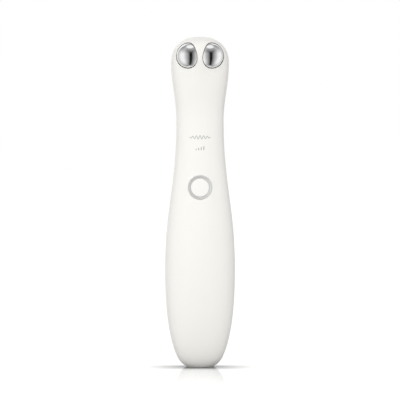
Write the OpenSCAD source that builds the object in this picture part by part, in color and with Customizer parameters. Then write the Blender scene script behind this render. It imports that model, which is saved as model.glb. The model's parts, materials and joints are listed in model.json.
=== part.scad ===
// Heated eye massager wand with two dome rollers, one push button and a charging socket.
// Millimetres. The wand stands on its flat base: +Z up, front towards -Y, origin at the base centre.

/* [Outline] */
// Width of the flat base
base_w = 15.4; // [15:0.1:15.8]
// Height of the widest part of the grip
belly_z = 48.3; // [47:0.1:52]
// Width of the grip at its widest
belly_w = 33; // [32:0.5:36]
// Depth of the grip at its widest
belly_d = 24; // [23.5:0.5:27]
// Length of the taper from the grip to the neck
taper_len = 64.7; // [63:0.1:68]
// Length of the straight neck
neck_len = 3; // [2:0.5:6]
// Width of the neck
neck_w = 22.2; // [21.8:0.1:24]
// Depth of the neck
neck_d = 17; // [16.8:0.1:19]
// How far the neck leans to the front
neck_lean = 0.8; // [0.6:0.1:1]
// Length of the flare from the neck to the head
flare_len = 26.5; // [26:0.1:29]
// Width of the head
head_w = 27.1; // [26.8:0.1:28]
// Depth of the head
head_d = 20; // [19.8:0.1:21]
// How far the head leans to the front
head_lean = 2.5; // [2.2:0.1:2.8]
// Height of the crown above the widest part of the head
crown_len = 12.5; // [12.3:0.1:13.5]
// Squareness of the level sections and of the tail, where 2 is an ellipse
section_n = 2.5; // [2.4:0.05:2.7]
// Squareness of the crown
crown_n = 2.3; // [2.25:0.05:2.5]

/* [Casing] */
// Wall of the two shells
wall = 1.6; // [1.4:0.05:1.7]
// How far the rounding of the foot draws the outline in
foot_in = 2.2; // [2:0.05:2.3]
// Share of it at the front and the rear, kept low so that the wand stands firmly
foot_share = 0.25; // [0.2:0.05:0.3]
// How high the rounding of the foot reaches
foot_up = 4; // [3.6:0.1:4.4]
// Flat rim that the shells leave around the base cap
base_rim = 0.3; // [0.25:0.05:0.4]
// Ledge that the base cap rests on
cap_ledge = 0.3; // [0.25:0.05:0.35]
// Thickness of the base cap's inner flange
cap_flange = 0.8; // [0.6:0.1:1]
// Width of a snap hook along the seam
hook_w = 5; // [4:0.5:6]
// Thickness of a snap hook
hook_t = 1.2; // [1:0.1:1.3]
// Reach of a snap hook past the seam
hook_reach = 3; // [2.6:0.1:3.4]

/* [Rollers] */
// Radius of a roller's dome
roller_r = 6.2; // [6.1:0.05:6.3]
// Distance of a roller's centre from the middle plane
roller_x = 4.7; // [4.6:0.05:4.8]
// Distance of a roller's centre below the crown
roller_drop = 9.2; // [9.1:0.1:9.6]
// Depth of a roller's centre behind the front of the head
roller_sink = 2.8; // [2.6:0.1:3]
// Turn of a roller's axle towards the front, in degrees
roller_splay = 21; // [20:0.5:22]
// Drop of a roller's axle towards its outer end, in degrees
roller_cant = 5.9; // [5:0.1:6.5]
// Distance of the flat inner face from the roller's centre
roller_flat = 1.55; // [1.5:0.05:1.65]
// Gap between a roller's dome and its pocket
dome_gap = 0.25; // [0.2:0.05:0.35]
// Gap between a roller's flat face and the web
flat_gap = 0.3; // [0.25:0.05:0.35]
// Wall of a pocket behind the dome
cup_wall = 1.1; // [1:0.05:1.2]
// Rise of the bridge between the rollers above the front of the head
bridge_rise = 3.3; // [3.15:0.05:3.4]
// Reach of the bridge to each side, level with the rollers' centres
bridge_w = 6.3; // [6:0.1:6.6]
// Length over which the bridge spreads out on its way up
bridge_spread = 12; // [11:0.5:13]
// Reach of the bridge up and down
bridge_h = 9.4; // [9:0.1:9.8]
// Height of the bridge's middle above the rollers' centres
bridge_up = 4; // [3.6:0.1:4.4]
// Wall of the web beside a roller's flat face
web_wall = 0.9; // [0.8:0.05:1]
// Radius of an axle
axle_r = 1.25; // [1.1:0.05:1.3]
// Running clearance of an axle in its bush
axle_play = 0.04; // [0.03:0.01:0.06]
// Wall of a roller's bush
bush_wall = 1.3; // [1.2:0.05:1.5]
// Depth of the blind bore in a roller
bore_depth = 5.2; // [5:0.1:5.6]
// Thickness of an axle's retaining clip
clip_t = 0.5; // [0.4:0.05:0.6]

/* [Heated cradle] */
// Thickness of the cradle's back plate
plate_t = 1.4; // [1.2:0.1:1.6]
// Width of the cradle's back plate
plate_w = 16; // [15.6:0.1:16.4]
// Thickness of the heater
heater_t = 0.8; // [0.6:0.1:1]
// Width of the heater
heater_w = 12; // [10:0.5:13]
// Height of the heater
heater_h = 9; // [8:0.5:9.5]
// Diameter of the temperature sensor's bead
sensor_d = 1.8; // [1.6:0.1:2]

/* [Button] */
// Distance of the button's centre below the crown
button_drop = 70.4; // [70:0.1:71]
// Outer diameter of the trim ring
ring_d = 11.2; // [11:0.1:11.8]
// Width of the trim ring's face
ring_face = 1.25; // [1.15:0.05:1.3]
// Depth of the trim ring's seat
ring_seat = 1.4; // [1.3:0.05:1.5]
// Drop of the trim ring's face towards the button
ring_dish = 0.3; // [0.2:0.05:0.5]
// Running clearance around the button cap
cap_play = 0.15; // [0.1:0.01:0.18]
// Travel of the button
button_travel = 0.4; // [0.3:0.05:0.45]
// Thickness of the button cap's flange
cap_lip = 0.7; // [0.6:0.05:0.8]
// Width of the switch's square case
switch_w = 4.5; // [4:0.1:5]
// Height of the switch's case above the board
switch_h = 1.6; // [1.5:0.05:1.7]
// Radius of the switch's plunger
plunger_r = 1.1; // [1:0.05:1.2]

/* [Electronics] */
// Thickness of the main board
board_t = 1; // [0.8:0.1:1]
// Width of the main board
board_w = 14; // [13.6:0.1:14.4]
// Length of the main board
board_len = 42; // [41.8:0.1:42.4]
// Distance of the first mode light above the button's centre
light_low = 18.5; // [18.3:0.1:18.7]
// Distance between the two mode lights
light_pitch = 4.5; // [4.3:0.1:4.7]
// Diameter of the battery cell
cell_d = 14.2; // [14:0.1:14.2]
// Length of the battery cell
cell_len = 49; // [48:0.5:49]
// Depth of the cell's axis behind the middle of the grip
cell_y = 1; // [0.8:0.1:1.1]
// Wall of the inner frame
frame_wall = 1.2; // [1:0.1:1.3]
// Width of the charging socket's metal shell
socket_w = 8.94; // [8.9:0.02:9]
// Height of the charging socket's metal shell
socket_t = 3.26; // [3.2:0.02:3.3]
// Length of the charging socket
socket_len = 7.3; // [7:0.1:7.6]
// Diameter of the coil on the main board
coil_d = 4; // [3.6:0.1:4.2]
// Height of the coil
coil_h = 1.8; // [1.5:0.1:2.2]
// Height of the capacitors
capacitor_h = 1.2; // [1:0.1:1.5]
// Height of the battery's connector
cell_plug_h = 2.4; // [2:0.1:2.6]
// Height of the connector for the leads from the head
head_plug_h = 2; // [1.8:0.1:2.2]
// Thickness of the charging board
charge_t = 0.8; // [0.6:0.1:1]
// Diameter of a lead
lead_d = 0.9; // [0.8:0.05:1]

/* [Motor] */
// Diameter of the vibration motor
motor_d = 8; // [7.6:0.1:8]
// Length of the motor's can
motor_len = 15; // [14:0.5:15]
// Wall of the motor's rubber boot
boot_wall = 0.8; // [0.6:0.05:0.85]
// Length of the eccentric weight
weight_len = 4; // [3.5:0.1:4]
// Radius of the eccentric weight
weight_r = 3.2; // [3:0.1:3.4]

/* [Screws] */
// Thread diameter of the screws
screw_d = 1.7; // [1.6:0.05:1.8]
// Diameter of a screw's head
screw_head_d = 3; // [2.8:0.1:3.2]
// Height of a screw's head
screw_head_h = 0.9; // [0.8:0.1:1]
// Diameter of a screw boss
boss_d = 3.8; // [3.6:0.1:4]

/* [Hidden] */

$fn = 64;
EPS = 0.01;          // overlap of tools that must cut right through
FIT = 0.1;           // clearance between fixed pieces that slide together
PRESS = 0.01;        // clearance that stands for a press fit
FAR = 60;            // longer than any piece that is cut with it

// Heights along the wand
neck_lo = belly_z + taper_len;
neck_hi = neck_lo + neck_len;
head_z = neck_hi + flare_len;
total_len = head_z + crown_len;
tail_reach = belly_z / pow(1 - pow(base_w / belly_w, section_n), 1 / section_n);

// The outline: a rounded tail, a taper, a flare and a crown, drawn in by inset
function ease(u) = (1 - cos(180 * max(0, min(1, u)))) / 2;
function rounded(u, n) = pow(max(0, 1 - pow(abs(u), n)), 1 / n);
function mix(a, b, t) = a + (b - a) * t;
function outline(z, belly, neck, head, inset) =
    z < belly_z ? (belly / 2 - inset) * rounded((belly_z - z) / (tail_reach - inset), section_n)
    : z < neck_lo ? mix(belly / 2, neck / 2, ease((z - belly_z) / taper_len)) - inset
    : z < head_z ? mix(neck / 2, head / 2, ease((z - neck_hi) / flare_len)) - inset
    : (head / 2 - inset) * rounded((z - head_z) / (crown_len - inset), crown_n);
function half_w(z, inset = 0) = outline(z, belly_w, neck_w, head_w, inset);
function half_d(z, inset = 0) = outline(z, belly_d, neck_d, head_d, inset);
function mid_y(z) =
    -mix(neck_lean * ease((z - belly_z) / taper_len), head_lean, ease((z - neck_hi) / flare_len));
function front_y(x, z, inset = 0) =
    mid_y(z) - half_d(z, inset) * rounded(x / half_w(z, inset), section_n);
function rear_y(x, z, inset = 0) = 2 * mid_y(z) - front_y(x, z, inset);

// The rounding under the foot, a quarter of an ellipse that draws the outer form in
function under(z) = foot_in * (1 - rounded(max(0, 1 - z / foot_up), 2));

// The smooth rise between and above the rollers, which fades out over the crown and at the seam
function bridge(x, z) = bridge_rise
    * exp(-pow(x / bridge_w / exp((z - roller_z) / bridge_spread), 2)
        - pow((z - roller_z - bridge_up) / bridge_h, 2))
    * rounded(x / half_w(z), 2) * (z > head_z ? rounded((z - head_z) / crown_len, 4) : 1);

// Heights of the level sections, closer together where the outline turns quickly
function steps(n, from = 0) = [for (i = [from : n]) i / n];
function levels(k, inset, floor_z) = let (
        reach = tail_reach - inset,
        foot = asin((belly_z - floor_z) / reach)
    ) concat(
        inset == 0 ? [for (u = [0, 0.03, 0.12, 0.27, 0.5, 0.75]) foot_up * u] : [floor_z],
        [for (u = steps(round(12 * k), 1)) let (z = belly_z - reach * sin(foot * (1 - u)))
            if (inset > 0 || z > foot_up) z],
        [for (u = steps(round(14 * k), 1)) belly_z + taper_len * u],
        [neck_hi],
        [for (u = steps(round(11 * k), 1)) neck_hi + flare_len * u],
        [for (u = steps(round(10 * k), 1)) if (u < 1) head_z + (crown_len - inset) * sin(90 * u)]
    );

// Half of a level section, from the right seam round the front (side -1) or the rear (side 1) to the left
function half_section(z, inset, side, segs, over) = let (
        in = inset == 0 ? under(z) : 0,
        w = half_w(z, inset) - in, d = half_d(z, inset) - foot_share * in, y = mid_y(z), e = 2 / section_n,
        proud = side < 0 && inset == 0
    ) concat(
        over > 0 ? [[w, y - side * over, z]] : [],
        [for (i = [0 : segs]) let (a = 180 * i / segs, x = w * sign(cos(a)) * pow(abs(cos(a)), e))
            [x, y + side * (d * pow(abs(sin(a)), e) + (proud ? bridge(x, z) : 0)), z]],
        over > 0 ? [[-w, y - side * over, z]] : []
    );

// One half of the wand's form as a closed solid, drawn in by inset and carried past the seam by over
module half_form(side, inset = 0, floor_z = 0, density = 1, segs = 28, over = 0) {
    zs = levels(density, inset, floor_z);
    rings = [for (z = zs) half_section(z, inset, side, segs, over)];
    n = len(rings[0]);
    m = len(rings);
    top = [[0, mid_y(total_len), total_len - inset]];
    side_faces = [for (i = [0 : m - 2]) for (j = [0 : n - 1]) let (
            a = i * n + j, b = i * n + (j + 1) % n
        ) each [[a, b, b + n], [a, b + n, a + n]]];
    cap_faces = [for (j = [0 : n - 1]) [(m - 1) * n + j, (m - 1) * n + (j + 1) % n, m * n]];
    foot = [[for (j = [n - 1 : -1 : 0]) j]];
    faces = concat(side_faces, cap_faces, foot);
    polyhedron(
        points = concat([for (r = rings) each r], top),
        faces = side > 0 ? [for (f = faces) [for (k = [len(f) - 1 : -1 : 0]) f[k]]] : faces
    );
}

// A block whose front face follows the front of the wand, from z_lo to z_hi and half_x to each side
module front_block(half_x, z_lo, z_hi, back_y, inset = 0, n = 12) {
    row = n + 1;
    face = [for (i = [0 : n]) for (j = [0 : n]) let (
            x = mix(-half_x, half_x, j / n), z = mix(z_lo, z_hi, i / n)
        ) [x, front_y(x, z, inset), z]];
    back = [for (p = face) [p[0], back_y, p[2]]];
    c = row * row;
    skin = [for (i = [0 : n - 1]) for (j = [0 : n - 1]) let (a = i * row + j)
        each [[a, a + row, a + row + 1], [a, a + row + 1, a + 1],
              [c + a, c + a + row + 1, c + a + row], [c + a, c + a + 1, c + a + row + 1]]];
    edge = concat(
        [for (j = [0 : n - 1]) j], [for (i = [0 : n - 1]) i * row + n],
        [for (j = [n : -1 : 1]) n * row + j], [for (i = [n : -1 : 1]) i * row]
    );
    k = len(edge);
    rim = [for (i = [0 : k - 1]) let (a = edge[i], b = edge[(i + 1) % k])
        each [[a, b, b + c], [a, b + c, a + c]]];
    polyhedron(points = concat(face, back), faces = concat(skin, rim));
}

// A cylinder that lies along Y, from y_lo to y_hi
module along_y(x, z, y_lo, y_hi, r) {
    translate([x, y_lo, z]) rotate([-90, 0, 0]) cylinder(r = r, h = y_hi - y_lo);
}

module box(lo, hi) {
    translate(lo) cube(hi - lo);
}

module both_sides() {
    children();
    mirror([1, 0, 0]) children();
}

// A screw along Y whose head faces the rear; the thread ends at y_tip and the head seats at y_seat
module screw(x, z, y_tip, y_seat) {
    difference() {
        union() {
            along_y(x, z, y_tip, y_seat + EPS, screw_d / 2);
            along_y(x, z, y_seat, y_seat + screw_head_h, screw_head_d / 2);
        }
        box([x - screw_head_d, y_seat + screw_head_h / 2, z - slot_w / 2],
            [x + screw_head_d, y_seat + 2 * screw_head_h, z + slot_w / 2]);
    }
}
slot_w = 0.45;
screw_grip = 3;      // thread in a boss
pilot_r = screw_d / 2 + PRESS;

// Places of the pieces
cap_t = 1.2;                                        // thickness of the base cap's face
roller_z = total_len - roller_drop;
roller_y = front_y(0, roller_z) + roller_sink;
button_z = total_len - button_drop;
button_y = front_y(0, button_z);
lip_y = button_y + ring_seat + 0.6;                 // rear of the lip that stops the button cap
plunger_out = button_travel + 0.1;
case_y = lip_y + cap_lip + plunger_out;
board_y = case_y + switch_h;                        // front face of the main board
board_back = board_y + board_t;
board_lo = button_z - 16;
board_hi = board_lo + board_len;
screw_rows = [button_z - 13.4, button_z + 12.4];    // heights of the board screws
screw_col = 4.6;
short_grip = 2;                                     // thread of a board screw in its boss
plate_y = roller_y + roller_r + dome_gap + cup_wall + FIT;
plate_back = plate_y + plate_t;
cradle_screw_gap = plate_w - boss_d + 0.2;
cradle_screw_z = roller_z - roller_r - dome_gap - cup_wall - 2;
plate_lo = cradle_screw_z - 2.1;
plate_hi = roller_z + 3.6;
coil_z = button_z - 6.2;
wedge_hi = roller_z + 2.2;
heater_z = cradle_screw_z + 6.9;
motor_y = mid_y(neck_lo);
motor_lo = neck_lo + 0.2;
boot_lo = motor_lo + 1;
boot_len = 13;
weight_lo = motor_lo + motor_len + 0.7;
rib_rows = [motor_lo + 3, motor_lo + 10];
rib_t = 1.2;
cell_r = cell_d / 2;
cell_hi = board_lo - frame_wall - 0.4;
cell_lo = cell_hi - cell_len;
trough_r = cell_r + FIT + frame_wall;
lug_rows = [cell_lo + 8, cell_hi - 7];
lug_x = cell_r + 3.7;
lug_y = -2;
hook_rows = [belly_z - 8.3, neck_lo - 18, neck_hi + 15];
slot_at = socket_t / 2;                             // front face of the charging board

// The local frame of the right roller: +Z along its axle, outward
module at_roller() {
    translate([roller_x, roller_y, roller_z]) rotate([0, 90 + roller_cant, -roller_splay]) children();
}

// A ball around a roller's centre that ends at the flat face
module cut_ball(r, flat) {
    difference() {
        sphere(r = r);
        translate([-FAR, -FAR, -flat - FAR]) cube([2 * FAR, 2 * FAR, FAR]);
    }
}

// A level plate with the outline of the base, drawn in by inset
module base_plate(inset, z_lo, z_hi) {
    w = half_w(0) - inset;
    d = half_d(0) - inset;
    e = 2 / section_n;
    translate([0, 0, z_lo]) linear_extrude(height = z_hi - z_lo) polygon([
        for (i = [0 : 47]) let (a = 7.5 * i)
            [w * sign(cos(a)) * pow(abs(cos(a)), e), d * sign(sin(a)) * pow(abs(sin(a)), e)]
    ]);
}

// A flat-sided oval along +Z, as wide as w and as thick as t
module stadium(w, t, z_lo, z_hi) {
    for (s = [-1, 1]) translate([s * (w - t) / 2, 0, z_lo]) cylinder(d = t, h = z_hi - z_lo);
    translate([-(w - t) / 2, -t / 2, z_lo]) cube([w - t, t, z_hi - z_lo]);
}

// Clearance around the base cap and around the charging socket
module base_cuts() {
    base_plate(foot_in + base_rim, -1, cap_t + 1);
    base_plate(foot_in + base_rim - cap_ledge - 0.05, cap_t, cap_t + cap_flange + FIT);
}

// Ribs that hold the rubber boot of the motor, open for the leads at both sides and at the rear
module motor_ribs() {
    for (z = rib_rows) difference() {
        box([-FAR, -FAR, z], [FAR, FAR, z + rib_t]);
        translate([0, motor_y, z - 1]) cylinder(r = motor_d / 2 + boot_wall + PRESS, h = rib_t + 2);
        box([-8.2, motor_y - 1.4, z - 1], [8.2, motor_y + 1.4, z + rib_t + 1]);
        box([-1.6, motor_y, z - 1], [1.6, motor_y + 6.2, z + rib_t + 1]);
    }
}

function hook_x(z) = min(half_w(z - hook_w / 2, wall), half_w(z + hook_w / 2, wall))
    * rounded(hook_reach / half_d(z, wall), section_n) - FIT;

module front_shell() {
    color([0.95, 0.945, 0.93]) difference() {
        half_form(-1);
        difference() {
            half_form(-1, wall, cap_t, 0.7, 20, 1);
            both_sides() at_roller() cut_ball(roller_r + dome_gap + cup_wall, roller_flat + flat_gap + web_wall);
            both_sides() along_y(cradle_screw_gap / 2, cradle_screw_z, -FAR, plate_y - PRESS, boss_d / 2);
            along_y(0, button_z, -FAR, lip_y + 1, 7);
            for (z = screw_rows) both_sides() along_y(screw_col, z, -FAR, board_y - PRESS, boss_d / 2);
            for (z = lug_rows) both_sides() along_y(lug_x, z, -FAR, lug_y - PRESS, boss_d / 2);
            motor_ribs();
        }
        base_cuts();
        both_sides() at_roller() cut_ball(roller_r + dome_gap, roller_flat + flat_gap);
        both_sides() at_roller() translate([0, 0, -roller_x]) cylinder(r = axle_r + PRESS, h = roller_x);
        both_sides() along_y(cradle_screw_gap / 2, cradle_screw_z, plate_y - screw_grip - 0.3, plate_y, pilot_r);
        along_y(0, button_z, -FAR, button_y + ring_seat, ring_d / 2 + PRESS);
        along_y(0, button_z, -FAR, lip_y + 1, ring_d / 2 - ring_face);
        along_y(0, button_z, lip_y, lip_y + 2, cap_flange_r + cap_play);
        for (z = screw_rows) both_sides() along_y(screw_col, z, board_y - short_grip - 0.2, board_y, pilot_r);
        for (z = lug_rows) both_sides() along_y(lug_x, z, lug_y - screw_grip - 0.3, lug_y, pilot_r);
        for (z = hook_rows) both_sides()
            translate([hook_x(z), mid_y(z) - hook_reach + 0.8, z - hook_w / 2]) cylinder(r = 0.55, h = hook_w);
    }
}
cap_flange_r = ring_d / 2 - ring_face + 0.7;

module rear_shell() {
    color([0.94, 0.935, 0.92]) {
        difference() {
            half_form(1);
            difference() {
                half_form(1, wall, cap_t, 0.7, 20, 1);
                motor_ribs();
                for (z = hook_rows) both_sides() box(
                    [hook_x(z) - hook_t, mid_y(z) + 0.4, z - hook_w / 2],
                    [hook_x(z) + 0.9, mid_y(z) + 3.5, z + hook_w / 2]);
            }
            base_cuts();
        }
        for (z = hook_rows) both_sides() {
            box([hook_x(z) - hook_t, mid_y(z) - hook_reach, z - hook_w / 2],
                [hook_x(z), mid_y(z) + 1, z + hook_w / 2]);
            translate([hook_x(z), mid_y(z) - hook_reach + 0.8, z - hook_w / 2 + 0.5])
                cylinder(r = 0.4, h = hook_w - 1);
        }
    }
}

module base_cap() {
    color([0.86, 0.86, 0.85]) difference() {
        union() {
            base_plate(foot_in + base_rim + 0.05, 0, cap_t + FIT);
            base_plate(foot_in + base_rim - cap_ledge, cap_t, cap_t + cap_flange);
        }
        stadium(socket_w + 0.1, socket_t + 0.1, -1, cap_t + 2);
    }
}

module roller() {
    difference() {
        cut_ball(roller_r, roller_flat);
        translate([0, 0, -roller_flat - 1]) cylinder(r = bush_r + PRESS, h = bore_depth + 1);
    }
}
bush_r = axle_r + axle_play + bush_wall;
bush_hi = -roller_flat + bore_depth - 1.2;          // outer end of the bush, along the axle
clip_lo = bush_hi + 0.05;

module left_roller() {
    color([0.8, 0.8, 0.82]) mirror([1, 0, 0]) at_roller() roller();
}

module right_roller() {
    color([0.8, 0.8, 0.82]) at_roller() roller();
}

module bush() {
    difference() {
        translate([0, 0, -roller_flat]) cylinder(r = bush_r, h = bush_hi + roller_flat);
        translate([0, 0, -roller_flat - 1]) cylinder(r = axle_r + axle_play, h = bore_depth + 2);
    }
}

module left_bush() {
    color([0.72, 0.55, 0.3]) mirror([1, 0, 0]) at_roller() bush();
}

module right_bush() {
    color([0.72, 0.55, 0.3]) at_roller() bush();
}

// A pin with a collar that carries the bush and a groove for the clip
module axle() {
    foot = (roller_x - axle_r * sin(roller_splay) - 0.1) / (cos(roller_splay) * cos(roller_cant));
    groove = clip_lo - 0.01;
    tip = bush_hi + 0.9;
    rotate_extrude() polygon([
        [0, -foot], [axle_r, -foot],
        [axle_r, -roller_flat - flat_gap], [axle_r + 0.7, -roller_flat - flat_gap],
        [axle_r + 0.7, -roller_flat - 0.05], [axle_r, -roller_flat - 0.05],
        [axle_r, groove], [axle_r - 0.35, groove],
        [axle_r - 0.35, groove + clip_t + 0.02], [axle_r, groove + clip_t + 0.02],
        [axle_r, tip - 0.2], [axle_r - 0.2, tip], [0, tip]
    ]);
}

module left_axle() {
    color([0.6, 0.6, 0.62]) mirror([1, 0, 0]) at_roller() axle();
}

module right_axle() {
    color([0.6, 0.6, 0.62]) at_roller() axle();
}

module axle_clips() {
    color([0.3, 0.3, 0.32]) both_sides() at_roller() translate([0, 0, clip_lo]) difference() {
        cylinder(r = axle_r + 0.75, h = clip_t);
        translate([0, 0, -1]) cylinder(r = axle_r - 0.35 + PRESS, h = clip_t + 2);
        translate([0, -0.6, -1]) cube([FAR, 1.2, clip_t + 2]);
    }
}

// Metal wedge between the pockets, with a back plate that the heater warms
module roller_cradle() {
    inner = roller_flat + flat_gap + web_wall + FIT;
    color([0.75, 0.76, 0.78]) difference() {
        union() {
            difference() {
                box([-6, front_y(0, wedge_hi, wall) + FIT, roller_z - 3.8], [6, plate_y + 0.5, wedge_hi]);
                both_sides() at_roller() translate([-FAR, -FAR, -inner]) cube(2 * FAR);
            }
            box([-plate_w / 2, plate_y, plate_lo], [plate_w / 2, plate_back, plate_hi]);
        }
        both_sides() at_roller() translate([0, 0, -roller_x * 1.3]) cylinder(r = axle_r + PRESS, h = roller_x * 1.3);
        both_sides() along_y(cradle_screw_gap / 2, cradle_screw_z, plate_y - 1, plate_back + 1, screw_d / 2 + 0.1);
        along_y(0, cradle_screw_z, plate_back - 0.6, plate_back + 1, sensor_d / 2 + 0.03);
    }
}

module cradle_screws() {
    color([0.45, 0.45, 0.47]) both_sides()
        screw(cradle_screw_gap / 2, cradle_screw_z, plate_y - screw_grip, plate_back + PRESS);
}

module heater_plate() {
    color([0.85, 0.5, 0.15]) {
        box([-heater_w / 2, plate_back + PRESS, heater_z - heater_h / 2],
            [heater_w / 2, plate_back + heater_t, heater_z + heater_h / 2]);
        for (x = [-3.6, 3.6]) box(
            [x - 1, plate_back + heater_t - EPS, heater_z - heater_h / 2 + 0.4],
            [x + 1, plate_back + heater_t + 0.2, heater_z - heater_h / 2 + 2.4]);
    }
}

module heat_sensor() {
    color([0.15, 0.15, 0.16]) translate([0, plate_back - 0.58, cradle_screw_z]) rotate([-90, 0, 0]) rotate_extrude()
        polygon([
            [0, 0], [sensor_d / 2, 0], [sensor_d / 2, 1.2],
            [sensor_d / 2 * 0.87, 1.65], [sensor_d / 4, 1.95], [0, 2]
        ]);
}

module button_cap() {
    r = ring_d / 2 - ring_face - cap_play;
    top = lip_y - button_y + 0.1;
    color([0.95, 0.945, 0.93]) translate([0, lip_y, button_z]) rotate([90, 0, 0]) rotate_extrude() polygon([
        [0, -cap_lip + PRESS], [cap_flange_r, -cap_lip + PRESS], [cap_flange_r, -PRESS], [r, -PRESS],
        [r, top - 0.4], [r - 0.12, top - 0.12], [r - 0.4, top],
        [r - 1.6, top - 0.06], [r - 2.9, top - 0.1], [0, top - 0.12]
    ]);
}

module button_ring() {
    outer = ring_d / 2;
    inner = outer - ring_face;
    top = ring_seat + 0.15;
    color([0.75, 0.75, 0.77]) translate([0, button_y + ring_seat, button_z]) rotate([90, 0, 0])
        rotate_extrude() polygon([
            [inner, PRESS], [outer, PRESS], [outer, top - 0.15], [outer - 0.05, top - 0.04], [outer - 0.15, top],
            [outer - 0.25, top - 0.03], [inner + 0.1, top - ring_dish], [inner, top - ring_dish - 0.1]
        ]);
}

module switch_case() {
    h = switch_w / 2;
    color([0.2, 0.2, 0.22]) {
        difference() {
            box([-h, case_y, button_z - h], [h, board_y - PRESS, button_z + h]);
            along_y(0, button_z, case_y - 1, board_y - 0.5, plunger_r + 0.08);
        }
        for (s = [-1, 1]) both_sides() box(
            [h - 0.9, board_y - 0.35, button_z + s * (h + 0.4) - 0.4],
            [h - 0.3, board_y - PRESS, button_z + s * (h + 0.4) + 0.4]);
    }
}

module switch_plunger() {
    color([0.1, 0.1, 0.1]) along_y(0, button_z, lip_y + cap_lip, case_y + 0.45, plunger_r);
}

module main_board() {
    color([0.1, 0.35, 0.2]) difference() {
        box([-board_w / 2, board_y, board_lo], [board_w / 2, board_back, board_hi]);
        for (z = screw_rows) both_sides() along_y(screw_col, z, board_y - 1, board_back + 1, screw_d / 2 + 0.1);
        both_sides() box([board_w / 2 - 1, board_y - 1, button_z - 1.5], [board_w, board_back + 1, button_z + 1.5]);
    }
}

module control_chip() {
    color([0.12, 0.12, 0.13]) {
        difference() {
            box([-2.5, board_back + 0.15, button_z - 1], [2.5, board_back + 1.1, button_z + 4]);
            along_y(-1.8, button_z + 3.3, board_back + 1, board_back + 2, 0.35);
        }
        for (s = [-1, 1]) for (i = [0 : 4]) box(
            [s * 2.8 - 0.45, board_back + PRESS, button_z - 0.5 + i * 0.85],
            [s * 2.8 + 0.45, board_back + 0.3, button_z - 0.1 + i * 0.85]);
    }
}

// Coil, two capacitors and three connectors on the rear of the main board
module power_parts() {
    color([0.35, 0.3, 0.28]) {
        along_y(-3, coil_z, board_back + PRESS, board_back + coil_h, coil_d / 2);
        for (x = [0.6, 3.4]) box(
            [x, board_back + PRESS, coil_z - 1.4], [x + 2, board_back + capacitor_h, coil_z + 1.4]);
    }
    color([0.9, 0.88, 0.8]) {
        box([-2.4, board_back + PRESS, board_lo + 0.6], [2.4, board_back + cell_plug_h, board_lo + 4.2]);
        box([-board_w / 2 + 0.4, board_back + PRESS, board_hi - 5],
            [board_w / 2 - 0.4, board_back + head_plug_h, board_hi - 1.8]);
    }
}

module mode_lights() {
    color([0.95, 0.93, 0.8]) for (i = [0, 1])
        box([-0.8, board_y - 0.7, button_z + light_low + i * light_pitch - 0.4],
            [0.8, board_y - PRESS, button_z + light_low + i * light_pitch + 0.4]);
}

// Keeps the light of each lamp under its own mark
module light_shield() {
    z = button_z + light_low;
    color([0.2, 0.2, 0.21]) difference() {
        front_block(2.8, z - 2.4, z + light_pitch + 2.4, board_y - PRESS, wall + FIT);
        for (i = [0, 1]) along_y(0, z + i * light_pitch, -FAR, board_y + 1, 1.3);
    }
}

module board_screws() {
    color([0.45, 0.45, 0.47]) for (z = screw_rows) both_sides()
        screw(screw_col, z, board_y - short_grip, board_back + PRESS);
}

// Trough for the cell with four lugs above rails for the charging board
module inner_frame() {
    floor_lo = cell_lo - frame_wall;
    color([0.8, 0.8, 0.78]) difference() {
        union() {
            difference() {
                translate([0, cell_y, floor_lo]) cylinder(r = trough_r, h = cell_len + 2 * frame_wall);
                box([-FAR, cell_y + 2.5, floor_lo - 1], [FAR, FAR, cell_hi + FAR]);
            }
            for (z = lug_rows) box([-lug_x - 2, lug_y, z - 2.6], [lug_x + 2, lug_y + frame_wall, z + 2.6]);
            both_sides() box([4.9, 0.9, rail_lo], [6.7, 3.3, floor_lo + 0.5]);
        }
        translate([0, cell_y, cell_lo - FIT]) cylinder(r = cell_r + FIT, h = cell_len + 2 * FIT);
        for (z = lug_rows) both_sides() along_y(lug_x, z, lug_y - 1, lug_y + 3, screw_d / 2 + 0.1);
        box([-charge_x - 0.05, slot_at - 0.05, 0], [charge_x + 0.05, slot_at + charge_t + 0.05, floor_lo - 0.2]);
        box([-3, cell_y - 1.2, cell_hi - 1], [3, FAR, cell_hi + 3]);
    }
}
charge_x = 5.5;
charge_hi = cell_lo - frame_wall - 0.3;
rail_lo = 4.6;

module frame_screws() {
    color([0.45, 0.45, 0.47]) for (z = lug_rows) both_sides()
        screw(lug_x, z, lug_y - screw_grip, lug_y + frame_wall + PRESS);
}

module battery_cell() {
    color([0.2, 0.4, 0.65]) translate([0, cell_y, cell_lo]) rotate_extrude() polygon([
        [0, 0], [cell_r - 0.6, 0], [cell_r, 0.6], [cell_r, cell_len - 1.6],
        [cell_r - 0.4, cell_len - 1], [cell_r - 1.4, cell_len - 0.7],
        [2.6, cell_len - 0.7], [2.6, cell_len], [0, cell_len]
    ]);
}

module battery_pad() {
    back = min(rear_y(4, belly_z - 10, wall), rear_y(4, belly_z + 10, wall)) - 0.05;
    color([0.25, 0.25, 0.26]) difference() {
        box([-4, cell_y + cell_r - 2, belly_z - 10], [4, back, belly_z + 10]);
        translate([0, cell_y, belly_z - 11]) cylinder(r = cell_r + PRESS, h = 22);
    }
}

module motor_can() {
    r = motor_d / 2;
    color([0.7, 0.7, 0.72]) translate([0, motor_y, motor_lo]) difference() {
        rotate_extrude() polygon([
            [0, 0], [r - 0.4, 0], [r, 0.4], [r, motor_len - 0.5], [r - 0.5, motor_len],
            [1.6, motor_len], [1.6, motor_len + 0.4], [0, motor_len + 0.4]
        ]);
        translate([0, 0, motor_len - 4]) cylinder(r = shaft_r + 0.04, h = 6);
    }
}
shaft_r = 0.5;

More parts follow.
